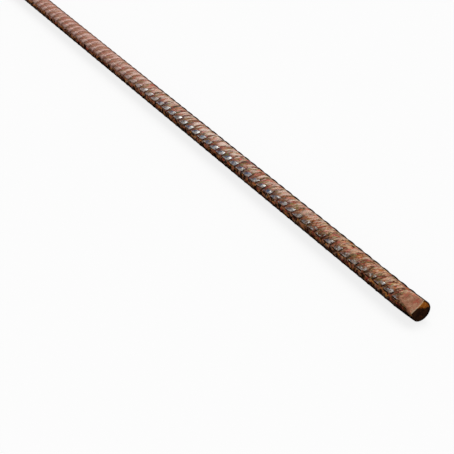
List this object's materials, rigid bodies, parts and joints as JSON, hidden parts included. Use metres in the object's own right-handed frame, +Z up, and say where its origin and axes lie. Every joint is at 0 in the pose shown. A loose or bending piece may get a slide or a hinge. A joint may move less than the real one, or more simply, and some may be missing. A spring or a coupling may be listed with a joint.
{
  "type": "ribbed reinforcing bar",
  "caption": "Straight rusty steel reinforcing bar with slanted cross ribs, a raised rib along each side and sheared ends.",
  "frame": {"origin": "on the bar's axis, half-way along it", "axes": "+X along the bar, +Z up as the bar lies on a level floor, -Y the side with the raised long rib"},
  "size_m": [0.6096, 0.0126, 0.0123],
  "materials": {
    "rusted_steel": "hot-rolled mill scale under thin matt rust, with bare worn spots on the rib crests"
  },
  "bodies": {
    "root": {"ribbed_bar": "rusted_steel"}
  },
  "joints": []
}
